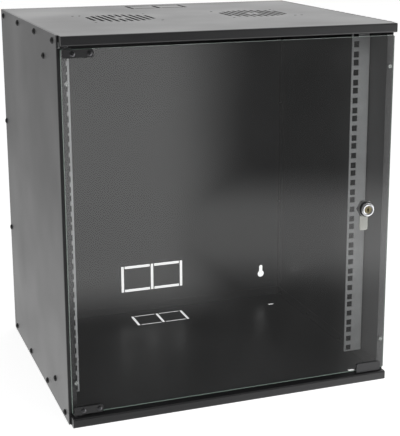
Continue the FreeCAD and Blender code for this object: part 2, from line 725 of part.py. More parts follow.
def write(nodes):
    os.makedirs("parts", exist_ok=True)
    for name, pieces in nodes.items():
        solids = [solid for piece in pieces for solid in piece.Solids]
        shape = solids[0] if len(solids) == 1 else Part.makeCompound(solids)
        if not shape.isValid():
            raise ValueError(name + " is not a valid solid")
        shape.exportStep("parts/" + name + ".step")
        print(name, len(solids), round(sum(solid.Volume for solid in solids), 1))


write(build())
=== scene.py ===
"""Wall mount network cabinet with a glass door: its finishes, screws and studio."""

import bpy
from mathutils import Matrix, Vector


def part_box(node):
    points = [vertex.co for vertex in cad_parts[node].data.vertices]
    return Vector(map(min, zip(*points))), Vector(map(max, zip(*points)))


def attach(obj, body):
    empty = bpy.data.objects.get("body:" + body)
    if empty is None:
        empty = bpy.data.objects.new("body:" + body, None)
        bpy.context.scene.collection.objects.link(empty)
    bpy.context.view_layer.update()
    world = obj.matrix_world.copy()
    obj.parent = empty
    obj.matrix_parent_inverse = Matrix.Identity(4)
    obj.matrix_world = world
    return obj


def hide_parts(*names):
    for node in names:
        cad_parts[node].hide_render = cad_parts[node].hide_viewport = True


bl_info = {
    "name": "Wall mount network cabinet",
    "version": (1, 0, 0),
    "blender": (4, 5, 0),
    "location": "3D View > Sidebar > Cabinet",
    "description": "Finishes the cabinet's sheet metal, rails, glass door and lock, and lights it",
    "category": "Object",
}

import math

import bmesh
import bpy
from mathutils import Vector

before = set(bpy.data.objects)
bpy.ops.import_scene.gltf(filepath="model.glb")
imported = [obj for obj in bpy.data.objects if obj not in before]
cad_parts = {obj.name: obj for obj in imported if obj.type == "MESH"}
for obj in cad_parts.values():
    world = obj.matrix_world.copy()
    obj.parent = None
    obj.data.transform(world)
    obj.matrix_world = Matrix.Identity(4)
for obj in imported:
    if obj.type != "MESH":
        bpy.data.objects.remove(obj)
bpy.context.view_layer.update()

MM = 0.001
WELD = 0.001 * MM  # points nearer than this are one
SHARP_EDGE = math.radians(40)  # edges turned more than this stay crisp


# ---------------------------------------------------------------- colours and nodes
def linear(hex_code):
    """Scene-linear RGBA of an sRGB hex colour such as "#202022"."""
    channels = [int(hex_code[i:i + 2], 16) / 255 for i in (1, 3, 5)]
    light = [c / 12.92 if c <= 0.04045 else ((c + 0.055) / 1.055) ** 2.4 for c in channels]
    return (*light, 1.0)


def add_node(tree, kind, settings=None, inputs=None):
    """Add a node, apply its settings, and fill or link its inputs.

    A node given as an input stands for its first output, and a list goes to a socket
    that takes several links.
    """
    node = tree.nodes.new(kind)
    for name, value in (settings or {}).items():
        setattr(node, name, value)
    for key, value in (inputs or {}).items():
        for source in value if isinstance(value, list) else [value]:
            if isinstance(source, bpy.types.Node):
                source = source.outputs[0]
            if isinstance(source, bpy.types.NodeSocket):
                tree.links.new(source, node.inputs[key])
            else:
                node.inputs[key].default_value = source
    return node


def new_material(name):
    """An empty node material, its tree and its Object coordinates."""
    material = bpy.data.materials.new(name)
    material.use_nodes = True
    tree = material.node_tree
    tree.nodes.clear()
    return material, tree, add_node(tree, "ShaderNodeTexCoord").outputs["Object"]


def per_metre(millimetres):
    """Noise scale that gives features of this size."""
    return 1000.0 / millimetres


WHITE = linear("#ffffff")
BRIGHT_ZINC = linear("#c4c4c0")
SCALE = {"operation": "SCALE"}
MULTIPLY = {"operation": "MULTIPLY"}
MAXIMUM = {"operation": "MAXIMUM"}
# Most of a noise texture's values lie between these.
NOISE_RANGE = {"From Min": 0.3, "From Max": 0.7}

# Sizes of the patterns in the finishes, in mm.
COAT_CLOUD_MM = 140.0  # where the powder lies thicker or thinner
COAT_PEEL_DEPTH_MM = 0.03
PASSIVATION_MM = 22.0  # patches of its cloudy film
ROLLED_DEPTH_MM = 0.02
HANDLING_MM = 9.0  # where plastic is rubbed brighter
TOOL_DEPTH_MM = 0.04
DUST_MM = 60.0
MILK_MM = 3.0  # clouds in the clear rubber
PAPER_CLOUD_MM = 400.0
# Real grinding marks are about 0.1 mm; these are coarse enough to show.
GRINDING_MM = 0.8


# ---------------------------------------------------------------- finishes
def powder_coat(name, colour, roughness, grain_mm):
    """Polyester powder coat baked on sheet steel.

    A fine orange peel breaks up the reflections, and slow changes in the film's
    build make the sheen cloudy from place to place.
    """
    material, tree, place = new_material(name)
    # The real peel is about 0.6 mm from crest to crest; grain_mm is coarse enough to show.
    peel = add_node(tree, "ShaderNodeTexNoise", inputs={
        "Vector": place, "Scale": per_metre(grain_mm), "Detail": 3.0, "Roughness": 0.6})
    cloud = add_node(tree, "ShaderNodeTexNoise", inputs={
        "Vector": place, "Scale": per_metre(COAT_CLOUD_MM), "Detail": 2.0})
    sheen = add_node(tree, "ShaderNodeMapRange", inputs={
        "Value": cloud, **NOISE_RANGE,
        "To Min": roughness - 0.035, "To Max": roughness + 0.035})
    fleck = add_node(tree, "ShaderNodeMapRange", inputs={
        "Value": peel, "From Min": 0.25, "From Max": 0.75, "To Min": 0.9, "To Max": 1.1})
    tone = add_node(tree, "ShaderNodeVectorMath", SCALE, {
        0: tuple(colour)[:3], "Scale": fleck})
    bump = add_node(tree, "ShaderNodeBump", inputs={
        "Strength": 0.22, "Distance": COAT_PEEL_DEPTH_MM * MM, "Height": peel})
    coat = add_node(tree, "ShaderNodeBsdfPrincipled", inputs={
        "Base Color": tone, "Roughness": sheen, "IOR": 1.5, "Normal": bump})
    add_node(tree, "ShaderNodeOutputMaterial", inputs={"Surface": coat})
    return material


def plated_steel(name, colour, roughness, grain_mm, stretch=(1.0, 1.0, 1.0), metal=1.0):
    """Zinc or chrome plate on steel: rolled grain under a thin film.

    Fine streaks along the rolling direction blur the reflections one way, and
    cloudy patches of passivation shift the tone a little. A dull or dark film
    hides the metal below it, so its metal share is low.
    """
    material, tree, place = new_material(name)
    along = add_node(tree, "ShaderNodeMapping", inputs={"Vector": place, "Scale": stretch})
    # The real grain is a few tenths of a millimetre; grain_mm is coarse enough to show.
    streak = add_node(tree, "ShaderNodeTexNoise", inputs={
        "Vector": along, "Scale": per_metre(grain_mm), "Detail": 4.0, "Roughness": 0.65})
    patch = add_node(tree, "ShaderNodeTexNoise", inputs={
        "Vector": place, "Scale": per_metre(PASSIVATION_MM), "Detail": 3.0})
    light = add_node(tree, "ShaderNodeMapRange", inputs={
        "Value": patch, **NOISE_RANGE, "To Min": 0.9, "To Max": 1.06})
    tone = add_node(tree, "ShaderNodeVectorMath", SCALE, {
        0: tuple(colour)[:3], "Scale": light})
    dull = add_node(tree, "ShaderNodeMapRange", inputs={
        "Value": streak, **NOISE_RANGE,
        "To Min": roughness * 0.82, "To Max": min(1.0, roughness * 1.18)})
    bump = add_node(tree, "ShaderNodeBump", inputs={
        "Strength": 0.12, "Distance": ROLLED_DEPTH_MM * MM, "Height": streak})
    plate = add_node(tree, "ShaderNodeBsdfPrincipled", inputs={
        "Base Color": tone, "Metallic": metal, "Roughness": dull, "Normal": bump})
    add_node(tree, "ShaderNodeOutputMaterial", inputs={"Surface": plate})
    return material


def moulded(name, colour, roughness, grain_mm):
    """Moulded plastic or rubber with a spark-eroded tool texture: an even, soft sheen."""
    material, tree, place = new_material(name)
    # The real texture is about 0.1 mm across; grain_mm is coarse enough to show.
    grain = add_node(tree, "ShaderNodeTexVoronoi", {"feature": "SMOOTH_F1"}, {
        "Vector": place, "Scale": per_metre(grain_mm)})
    worn = add_node(tree, "ShaderNodeTexNoise", inputs={
        "Vector": place, "Scale": per_metre(HANDLING_MM), "Detail": 2.0})
    dull = add_node(tree, "ShaderNodeMapRange", inputs={
        "Value": worn, **NOISE_RANGE,
        "To Min": roughness - 0.05, "To Max": roughness + 0.05})
    light = add_node(tree, "ShaderNodeMapRange", inputs={
        "Value": worn, **NOISE_RANGE, "To Min": 0.88, "To Max": 1.12})
    tone = add_node(tree, "ShaderNodeVectorMath", SCALE, {
        0: tuple(colour)[:3], "Scale": light})
    bump = add_node(tree, "ShaderNodeBump", inputs={
        "Strength": 0.25, "Distance": TOOL_DEPTH_MM * MM, "Height": grain})
    skin = add_node(tree, "ShaderNodeBsdfPrincipled", inputs={
        "Base Color": tone, "Roughness": dull, "IOR": 1.5, "Normal": bump})
    add_node(tree, "ShaderNodeOutputMaterial", inputs={"Surface": skin})
    return material


def float_glass(name, edge_colour, absorbed, density):
    """Toughened soda-lime float glass with ground edges.

    The faces are flat and clear with a mirror-like sheen; iron in the melt turns the
    long path along the sheet green, and the ground edges scatter it as a pale line.
    """
    material, tree, place = new_material(name)
    # The faces look along y, so whatever looks far from it is the edge.
    facing = add_node(tree, "ShaderNodeSeparateXYZ", inputs={
        0: add_node(tree, "ShaderNodeTexCoord").outputs["Normal"]})
    across = add_node(tree, "ShaderNodeMath", {"operation": "ABSOLUTE"}, {
        0: facing.outputs["Y"]})
    edge = add_node(tree, "ShaderNodeMath", {"operation": "LESS_THAN"}, {0: across, 1: 0.6})
    # Grinding marks dull the edge; the faces show a faint film of dust.
    dust = add_node(tree, "ShaderNodeTexNoise", inputs={
        "Vector": place, "Scale": per_metre(DUST_MM), "Detail": 4.0})
    grind = add_node(tree, "ShaderNodeTexNoise", inputs={
        "Vector": place, "Scale": per_metre(GRINDING_MM), "Detail": 2.0})
    ground = add_node(tree, "ShaderNodeMapRange", inputs={
        "Value": grind, **NOISE_RANGE, "To Min": 0.35, "To Max": 0.6})
    matt = add_node(tree, "ShaderNodeMath", MULTIPLY, {0: edge, 1: ground})
    haze = add_node(tree, "ShaderNodeMapRange", inputs={
        "Value": dust, "From Min": 0.35, "From Max": 0.75, "To Min": 0.007, "To Max": 0.011})
    pane = add_node(tree, "ShaderNodeBsdfPrincipled", inputs={
        "Base Color": WHITE, "Roughness": matt, "IOR": 1.52, "Transmission Weight": 1.0})
    film = add_node(tree, "ShaderNodeBsdfDiffuse", inputs={"Color": linear("#e7e7e7")})
    rim = add_node(tree, "ShaderNodeBsdfDiffuse", inputs={"Color": edge_colour})
    dusty = add_node(tree, "ShaderNodeMixShader", inputs={0: haze, 1: pane, 2: film})
    rim_share = add_node(tree, "ShaderNodeMath", MULTIPLY, {0: edge, 1: 0.7})
    seen = add_node(tree, "ShaderNodeMixShader", inputs={0: rim_share, 1: dusty, 2: rim})
    # Light passes straight through; only what is looked through is bent.
    clear = add_node(tree, "ShaderNodeBsdfTransparent", inputs={"Color": linear("#f6f6f6")})
    path = add_node(tree, "ShaderNodeLightPath").outputs
    looked = add_node(tree, "ShaderNodeMath", MAXIMUM, {
        0: path["Is Camera Ray"], 1: path["Is Transmission Ray"]})
    glass = add_node(tree, "ShaderNodeMixShader", inputs={0: looked, 1: clear, 2: seen})
    iron = add_node(tree, "ShaderNodeVolumeAbsorption", inputs={
        "Color": absorbed, "Density": density})
    add_node(tree, "ShaderNodeOutputMaterial", inputs={"Surface": glass, "Volume": iron})
    return material


def clear_rubber(name, colour):
    """Clear cast polyurethane: soft, faintly milky, bright where light gathers in it."""
    material, tree, place = new_material(name)
    milk = add_node(tree, "ShaderNodeTexNoise", inputs={
        "Vector": place, "Scale": per_metre(MILK_MM), "Detail": 2.0})
    dull = add_node(tree, "ShaderNodeMapRange", inputs={
        "Value": milk, **NOISE_RANGE, "To Min": 0.12, "To Max": 0.3})
    gel = add_node(tree, "ShaderNodeBsdfPrincipled", inputs={
        "Base Color": colour, "Roughness": dull, "IOR": 1.48, "Transmission Weight": 0.75})
    add_node(tree, "ShaderNodeOutputMaterial", inputs={"Surface": gel})
    return material


def cover(material, *node_names):
    """Give CAD nodes this finish in each of their slots."""
    for node_name in node_names:
        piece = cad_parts[node_name]
        if not piece.material_slots:
            piece.data.materials.append(material)
        for slot in piece.material_slots:
            slot.material = material


# ---------------------------------------------------------------- recessed screws
SCREW_ROTATION = {
    "left": (0.0, -math.pi / 2, 0.0),
    "right": (0.0, math.pi / 2, 0.0),
    "front": (math.pi / 2, 0.0, 0.0),
    "back": (-math.pi / 2, 0.0, 0.0),
}
OUTWARD = {
    "left": Vector((-1, 0, 0)),
    "right": Vector((1, 0, 0)),
    "front": Vector((0, -1, 0)),
    "back": Vector((0, 1, 0)),
}


# How finely the round shapes are cut.
HEAD_SEGMENTS = 24
HEAD_RINGS = 14
SHANK_SIDES = 16
TURNED_STEPS = 48
# The cuts leave points this near to each other, which would be faces with no area.
CUT_MERGE = 0.02 * MM
FIT_SLACK = 0.1 * MM  # how far a screw may leave its CAD node's box

PANEL_SCREW = {
    "Head Diameter": 9.5 * MM, "Head Rise": 2.8 * MM,
    "Shank Diameter": 4 * MM, "Shank Length": 7 * MM,
    "Recess Width": 1.2 * MM, "Recess Depth": 1.6 * MM,
}
RAIL_SCREW = {**PANEL_SCREW, "Shank Diameter": 5 * MM, "Shank Length": 8.2 * MM}
HINGE_SCREW = {
    **PANEL_SCREW, "Head Diameter": 8 * MM, "Head Rise": 1.4 * MM,
    "Shank Length": 9.6 * MM, "Recess Depth": 0.9 * MM,
}
CAM_SCREW = {
    **PANEL_SCREW, "Head Diameter": 10 * MM, "Head Rise": 2.4 * MM,
    "Shank Diameter": 5 * MM, "Shank Length": 5 * MM, "Recess Length": 5 * MM,
}
# CAD node, the side its heads are on, its body, its slot, its finish and its sizes.
SCREW_SETS = (
    ("left_panel_screws", "left", "cabinet", "screw_black", "black", PANEL_SCREW),
    ("right_panel_screws", "right", "cabinet", "screw_black", "black", PANEL_SCREW),
    ("left_rail_screws", "left", "cabinet", "screw_black", "black", RAIL_SCREW),
    ("right_rail_screws", "right", "cabinet", "screw_black", "black", RAIL_SCREW),
    ("upper_hinge_screws", "front", "door", "screw_black", "smoked", HINGE_SCREW),
    ("lower_hinge_screws", "front", "door", "screw_black", "smoked", HINGE_SCREW),
    ("cam_screw", "back", "lock_plug", "fastener_zinc", "bright", CAM_SCREW),
)


def solid_boxes(node_name):
    """Lowest and highest corners of each separate solid in a CAD node."""
    solids = bmesh.new()
    solids.from_mesh(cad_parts[node_name].data)
    bmesh.ops.remove_doubles(solids, verts=solids.verts, dist=WELD)
    unseen = set(solids.verts)
    boxes = []
    for start in solids.verts:
        if start not in unseen:
            continue
        unseen.discard(start)
        group, todo = [], [start]
        while todo:
            vert = todo.pop()
            group.append(vert.co.copy())
            for edge in vert.link_edges:
                other = edge.other_vert(vert)
                if other in unseen:
                    unseen.discard(other)
                    todo.append(other)
        low = Vector([min(co[axis] for co in group) for axis in range(3)])
        high = Vector([max(co[axis] for co in group) for axis in range(3)])
        boxes.append((low, high))
    solids.free()
    return sorted(boxes, key=lambda box: tuple(round(c, 5) for c in box[0]))


def screw_seats(node_name, side, rise):
    """Point under the middle of each head, where it meets the sheet."""
    out = OUTWARD[side]
    seats = []
    for low, high in solid_boxes(node_name):
        middle = (low + high) / 2
        tip = high if out.dot(Vector((1, 1, 1))) > 0 else low
        seats.append(middle + out * (out.dot(tip) - out.dot(middle) - rise))
    return seats


def recessed_screw_tree():
    """Geometry Nodes: a domed head with a cross recess and a shank on each point."""
    tree = bpy.data.node_groups.new("recessed_screws", "GeometryNodeTree")
    sockets = [
        ("Seats", "NodeSocketGeometry", None),
        ("Head Diameter", "NodeSocketFloat", 8 * MM),
        ("Head Rise", "NodeSocketFloat", 2.4 * MM),
        ("Shank Diameter", "NodeSocketFloat", 4 * MM),
        ("Shank Length", "NodeSocketFloat", 7 * MM),
        ("Recess Length", "NodeSocketFloat", 4.2 * MM),
        ("Recess Width", "NodeSocketFloat", 0.9 * MM),
        ("Recess Depth", "NodeSocketFloat", 1.3 * MM),
        ("Direction", "NodeSocketVector", (0.0, 0.0, 0.0)),
        ("Seed", "NodeSocketInt", 0),
        ("Finish", "NodeSocketMaterial", None),
    ]
    for name, kind, default in sockets:
        socket = tree.interface.new_socket(name, in_out="INPUT", socket_type=kind)
        if default is not None:
            socket.default_value = default
    tree.interface.new_socket("Screws", in_out="OUTPUT", socket_type="NodeSocketGeometry")
    given = add_node(tree, "NodeGroupInput").outputs
    sizes = {name: given[name] for name, _, _ in sockets}

    # Each row is a new size, its operation and the two it comes from. The block is what
    # cuts a ball off at the seat; the rod starts a little way up inside the head.
    for name, operation, first, second in (
            ("head radius", "MULTIPLY", "Head Diameter", 0.5),
            ("block", "MULTIPLY", "Head Diameter", 2.0),
            ("block middle", "MULTIPLY", "block", -0.5),
            ("buried", "MULTIPLY", "Head Rise", 0.3),
            ("rod radius", "MULTIPLY", "Shank Diameter", 0.5),
            ("rod length", "ADD", "Shank Length", "buried"),
            ("half rod", "MULTIPLY", "rod length", 0.5),
            ("rod middle", "SUBTRACT", "buried", "half rod"),
            ("slot height", "MULTIPLY", "Recess Depth", 2.0)):
        sizes[name] = add_node(tree, "ShaderNodeMath", {"operation": operation}, {
            0: sizes.get(first, first), 1: sizes.get(second, second)})
    for name, *parts in (
            ("ball scale", "head radius", "head radius", "Head Rise"),
            ("block size", "block", "block", "block"),
            ("block place", 0.0, 0.0, "block middle"),
            ("rod place", 0.0, 0.0, "rod middle"),
            ("slot along x", "Recess Length", "Recess Width", "slot height"),
            ("slot along y", "Recess Width", "Recess Length", "slot height"),
            ("slot place", 0.0, 0.0, "Head Rise")):
        sizes[name] = add_node(tree, "ShaderNodeCombineXYZ", inputs={
            axis: sizes.get(part, part) for axis, part in enumerate(parts)})

    cut = {"operation": "DIFFERENCE", "solver": "MANIFOLD"}
    ball = add_node(tree, "GeometryNodeMeshUVSphere", inputs={
        "Segments": HEAD_SEGMENTS, "Rings": HEAD_RINGS, "Radius": 1.0})
    dome = add_node(tree, "GeometryNodeTransform", inputs={
        "Geometry": ball, "Scale": sizes["ball scale"]})
    block = add_node(tree, "GeometryNodeMeshCube", inputs={"Size": sizes["block size"]})
    below_seat = add_node(tree, "GeometryNodeTransform", inputs={
        "Geometry": block, "Translation": sizes["block place"]})
    head = add_node(tree, "GeometryNodeMeshBoolean", cut, {
        "Mesh 1": dome, "Mesh 2": [below_seat]})
    rod = add_node(tree, "GeometryNodeMeshCylinder", inputs={
        "Vertices": SHANK_SIDES, "Radius": sizes["rod radius"], "Depth": sizes["rod length"]})
    shank = add_node(tree, "GeometryNodeTransform", inputs={
        "Geometry": rod, "Translation": sizes["rod place"]})
    blank = add_node(tree, "GeometryNodeMeshBoolean", {**cut, "operation": "UNION"}, {
        "Mesh 2": [head, shank]})
    slots = [
        add_node(tree, "GeometryNodeTransform", inputs={
            "Geometry": add_node(tree, "GeometryNodeMeshCube", inputs={"Size": sizes[name]}),
            "Translation": sizes["slot place"]})
        for name in ("slot along x", "slot along y")
    ]
    screw = add_node(tree, "GeometryNodeMeshBoolean", cut, {"Mesh 1": blank, "Mesh 2": slots})
    clean = add_node(tree, "GeometryNodeMergeByDistance", inputs={
        "Geometry": screw, "Distance": CUT_MERGE})
    points = add_node(tree, "GeometryNodeMeshToPoints", inputs={"Mesh": given["Seats"]})
    facing = add_node(tree, "FunctionNodeEulerToRotation", inputs={0: given["Direction"]})
    placed = add_node(tree, "GeometryNodeInstanceOnPoints", inputs={
        "Points": points, "Instance": clean, "Rotation": facing})
    # Each screw stops at its own angle when it is tight.
    spin = add_node(tree, "FunctionNodeRandomValue", {"data_type": "FLOAT"}, {
        3: math.pi, "Seed": given["Seed"]})
    about_axis = add_node(tree, "ShaderNodeCombineXYZ", inputs={2: spin.outputs[1]})
    turn = add_node(tree, "FunctionNodeEulerToRotation", inputs={0: about_axis})
    turned_round = add_node(tree, "GeometryNodeRotateInstances", inputs={
        "Instances": placed, "Rotation": turn})
    real = add_node(tree, "GeometryNodeRealizeInstances", inputs={0: turned_round})
    finished = add_node(tree, "GeometryNodeSetMaterial", inputs={
        "Geometry": real, "Material": given["Finish"]})
    add_node(tree, "NodeGroupOutput", inputs={0: finished})
    return tree


def make_screws(tree, node_name, side, body, values):
    """Recessed screws in place of a CAD node's plain ones."""
    seats = bpy.data.meshes.new(node_name + "_seats")
    seats.from_pydata(screw_seats(node_name, side, values["Head Rise"]), [], [])
    holder = bpy.data.objects.new(node_name + "_holder", seats)
    bpy.context.scene.collection.objects.link(holder)
    modifier = holder.modifiers.new("screws", "NODES")
    modifier.node_group = tree
    values = dict(values, Direction=SCREW_ROTATION[side])
    for item in tree.interface.items_tree:
        if item.in_out == "INPUT" and item.name in values:
            modifier[item.identifier] = values[item.name]
    bpy.context.view_layer.update()
    depsgraph = bpy.context.evaluated_depsgraph_get()
    mesh = bpy.data.meshes.new_from_object(holder.evaluated_get(depsgraph))
    bpy.data.objects.remove(holder)
    low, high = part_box(node_name)
    slack = Vector((FIT_SLACK,) * 3)
    if not mesh.polygons or any(
            min(high + slack - vert.co) < 0 or min(vert.co - low + slack) < 0
            for vert in mesh.vertices):
        raise RuntimeError("the screws do not fit their seats at " + node_name)
    mesh.set_sharp_from_angle(angle=SHARP_EDGE)
    screws = bpy.data.objects.new(node_name + "_recessed", mesh)
    bpy.context.scene.collection.objects.link(screws)
    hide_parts(node_name)
    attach(screws, body)


# ---------------------------------------------------------------- turned pieces
def turned(node_name, suffix, body, material, profile, places, closed):
    """Solids turned about y, in place of a CAD node; profile holds (radius, y) in mm."""
    shape = bmesh.new()
    for x, z in places:
        centre = Vector((x, 0.0, z))
        ring = [shape.verts.new(centre + Vector((radius * MM, y * MM, 0.0)))
                for radius, y in profile]
        pairs = list(zip(ring, ring[1:] + ring[:1] if closed else ring[1:]))
        lines = [shape.edges.new(pair) for pair in pairs]
        bmesh.ops.spin(shape, geom=ring + lines, cent=centre, axis=(0, 1, 0),
                       angle=2 * math.pi, steps=TURNED_STEPS, use_merge=True)
    bmesh.ops.remove_doubles(shape, verts=shape.verts, dist=WELD)
    bmesh.ops.recalc_face_normals(shape, faces=shape.faces)
    # Spinning orders the faces anew on each run, so they get an order that stays.
    place = {vert: index for index, vert in enumerate(shape.verts)}
    faces = []
    for face in shape.faces:
        corners = [place[vert] for vert in face.verts]
        first = corners.index(min(corners))
        faces.append(corners[first:] + corners[:first])
    mesh = bpy.data.meshes.new(node_name + suffix)
    mesh.from_pydata([vert.co.copy() for vert in shape.verts], [], sorted(faces),
                     shade_flat=False)
    shape.free()
    mesh.set_sharp_from_angle(angle=SHARP_EDGE)
    mesh.materials.append(material)
    piece = bpy.data.objects.new(node_name + suffix, mesh)
    bpy.context.scene.collection.objects.link(piece)
    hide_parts(node_name)
    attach(piece, body)


def middles(node_name):
    """(x, z) of the middle of each separate solid in a CAD node."""
    return [((low.x + high.x) / 2, (low.z + high.z) / 2)
            for low, high in solid_boxes(node_name)]


# Half sections in mm: distance from the axis, then the place along y.
LOCK_CASE = [
    (11.0, -214.5), (11.0, -217.2), (10.7, -218.3), (10.1, -219.1), (9.3, -219.55),
    (8.5, -219.7), (7.6, -219.7), (7.2, -219.4), (6.9, -218.7), (6.05, -218.6),
    (6.05, -203.6), (9.0, -203.6), (9.0, -214.5),
]
STUD = [
    (0.0, -209.0), (3.0, -209.0), (3.0, -207.4), (2.85, -206.6), (2.4, -205.9),
    (1.6, -205.45), (0.8, -205.32), (0.0, -205.3),
]


# ---------------------------------------------------------------- stage
FLOOR_CORNERS = ((-6, -0.8, 0), (6, -0.8, 0), (6, 6, 0), (-6, 6, 0))
FLOOR_LIFT = 0.71  # makes the lit paper as white as the surround

# The surround's shapes are told by direction: x, z and forward are those of a unit
# vector, and slope is x over forward. A window rises from 0 to 1 between its first two
# numbers and falls between its last two. A step's first two numbers say where it starts
# and ends, and its last two are its values there.
WINDOWS = (
    ("tall across", "slope", 0.08, 0.16, 0.31, 0.41),
    ("tall up", "z", -0.36, -0.315, -0.1, -0.04),
    ("band across", "slope", 0.2, 0.3, 0.62, 0.7),
    ("band up", "z", -0.335, -0.29, -0.27, -0.22),
    ("edge across", "slope", 0.49, 0.57, 0.64, 0.8),
    ("glow across", "slope", 0.5, 0.72, 1.5, 3.0),
)
STEP_SOCKETS = ("Value", "From Min", "From Max", "To Min", "To Max")
LIGHT_STEPS = (
    ("edge up", "z", -0.33, -0.18, 1.0, 0.35),
    # The glow stops at the horizon, so that the top keeps its colour from behind.
    ("glow up", "z", -0.06, 0.04, 1.0, 0.0),
    ("sharp floor", "z", -0.62, -0.47, 0.9, 0.1),
    ("soft floor", "z", -0.52, -0.3, 0.9, 0.08),
    ("behind left", "z", -0.42, -0.15, 1.15, 0.62),
    ("to right", "x", -0.15, 0.1, 0.0, 1.0),
    ("to front", "forward", 0.1, 0.6, 0.0, 1.0),
)
BEHIND_RIGHT = 1.2
# Each row is a new value, its operation and the two it comes from.
LIGHT_SUMS = (
    ("tall", "MULTIPLY", "tall across", "tall up"),
    ("full band", "MULTIPLY", "band across", "band up"),
    ("band", "MULTIPLY", "full band", 0.75),
    ("either panel", "MAXIMUM", "tall", "band"),
    ("panels", "MULTIPLY", "either panel", 1.8),
    ("edge", "MULTIPLY", "edge across", "edge up"),
    ("lights", "ADD", "panels", "edge"),
    # Only the outer face of the glass shows the lights: a ray that has passed no glass.
    ("outside", "LESS_THAN", "glass passed", 0.5),
    ("lights outside", "MULTIPLY", "lights", "outside"),
    ("sharp", "ADD", "lights outside", "sharp floor"),
    ("full glow", "MULTIPLY", "glow across", "glow up"),
    ("glow", "MULTIPLY", "full glow", 2.8),
    ("soft", "ADD", "glow", "soft floor"),
)

# Name, place, target, side lengths in metres.
KEY_LAMP = ("key_softbox", (0.87, -1.28, 0.85), (0.2, -0.2, 0.5), (0.5, 0.5))
FILL_LAMP = ("fill_softbox", (-1.0, -2.3, 1.5), (0.0, 0.0, 0.28), (1.0, 1.0))
RIM_LAMP = ("rim_softbox", (1.0, 1.3, 1.1), (0.1, -0.1, 0.57), (1.0, 1.0))

CAMERA_PLACE = (-0.5827, -1.7055, 0.739)
CAMERA_TARGET = (0.0577, 0.0, 0.2908)
CAMERA_SHIFT = (-0.05, -0.08)
SENSOR_WIDTH = 36.0  # mm


def build_floor(colour):
    """A pale sheet of studio paper under the cabinet."""
    sheet = bmesh.new()
    sheet.faces.new([sheet.verts.new(corner) for corner in FLOOR_CORNERS])
    mesh = bpy.data.meshes.new("studio_floor")
    sheet.to_mesh(mesh)
    sheet.free()
    floor = bpy.data.objects.new("studio_floor", mesh)
    bpy.context.scene.collection.objects.link(floor)
    material, tree, place = new_material("studio_paper")
    cloud = add_node(tree, "ShaderNodeTexNoise", inputs={
        "Vector": place, "Scale": per_metre(PAPER_CLOUD_MM), "Detail": 2.0})
    tone = add_node(tree, "ShaderNodeMapRange", inputs={
        "Value": cloud, "To Min": 0.97, "To Max": 1.03})
    shade = add_node(tree, "ShaderNodeVectorMath", SCALE, {
        0: tuple(colour)[:3], "Scale": tone})
    paper = add_node(tree, "ShaderNodeBsdfDiffuse", inputs={"Color": shade})
    # To the eye the paper goes on into the white surround and keeps a soft shadow.
    path = add_node(tree, "ShaderNodeLightPath").outputs
    looked = add_node(tree, "ShaderNodeMath", MAXIMUM, {
        0: path["Is Camera Ray"], 1: path["Is Transmission Ray"]})
    lift = add_node(tree, "ShaderNodeMath", MULTIPLY, {0: looked, 1: FLOOR_LIFT})
    glow = add_node(tree, "ShaderNodeEmission", inputs={"Strength": lift})
    both = add_node(tree, "ShaderNodeAddShader", inputs={0: paper, 1: glow})
    add_node(tree, "ShaderNodeOutputMaterial", inputs={"Surface": both})
    mesh.materials.append(material)
    floor.visible_glossy = False


def build_surround(level):
    """White to the eye; in reflections, pale behind the cabinet and a dim room in front.

    In that room sharp reflections find a tall panel, a level band, a light at the far
    right and paper on the floor. Rough finishes find a wide glow at the right, and
    paper that reaches further up.
    """
    world = bpy.data.worlds.new("studio_surround")
    bpy.context.scene.world = world
    world.use_nodes = True
    tree = world.node_tree
    tree.nodes.clear()
    path = add_node(tree, "ShaderNodeLightPath").outputs
    toward = add_node(tree, "ShaderNodeSeparateXYZ", inputs={
        0: add_node(tree, "ShaderNodeTexCoord").outputs["Generated"]}).outputs
    forward = add_node(tree, "ShaderNodeMath", MULTIPLY, {0: toward["Y"], 1: -1.0})
    ahead = add_node(tree, "ShaderNodeMath", MAXIMUM, {0: forward, 1: 0.05})
    slope = add_node(tree, "ShaderNodeMath", {"operation": "DIVIDE"}, {
        0: toward["X"], 1: ahead})
    light = {"x": toward["X"], "z": toward["Z"], "forward": forward, "slope": slope,
             "glass passed": path["Transmission Depth"]}

    steps = list(LIGHT_STEPS)
    for name, source, start, full, fade, end in WINDOWS:
        steps.append((name + " rise", source, start, full, 0.0, 1.0))
        steps.append((name + " fall", source, fade, end, 1.0, 0.0))
    for name, source, *limits in steps:
        light[name] = add_node(
            tree, "ShaderNodeMapRange", {"interpolation_type": "SMOOTHSTEP"},
            dict(zip(STEP_SOCKETS, (light[source], *limits))))
    sums = [(name, "MULTIPLY", name + " rise", name + " fall") for name, *_ in WINDOWS]
    for name, operation, first, second in (*sums, *LIGHT_SUMS):
        light[name] = add_node(tree, "ShaderNodeMath", {"operation": operation}, {
            0: light.get(first, first), 1: light.get(second, second)})
    looked = add_node(tree, "ShaderNodeMath", MAXIMUM, {
        0: path["Is Camera Ray"], 1: path["Is Transmission Ray"]})

    # Each row chooses between its second and third values by its first.
    light.update(level=level, looked=looked, sharp_ray=path["Is Singular Ray"],
                 glossy_ray=path["Is Glossy Ray"])
    for name, share, low, high in (
            ("room", "sharp_ray", "soft", "sharp"),
            ("behind", "to right", "behind left", BEHIND_RIGHT),
            ("mirrored", "to front", "behind", "room"),
            ("lighting", "glossy_ray", "level", "mirrored"),
            ("strength", "looked", "lighting", 1.0)):
        light[name] = add_node(tree, "ShaderNodeMix", {"data_type": "FLOAT"}, {
            0: light[share], 2: light[low], 3: light.get(high, high)})
    sky = add_node(tree, "ShaderNodeBackground", inputs={
        "Color": WHITE, "Strength": light["strength"]})
    add_node(tree, "ShaderNodeOutputWorld", inputs={"Surface": sky})


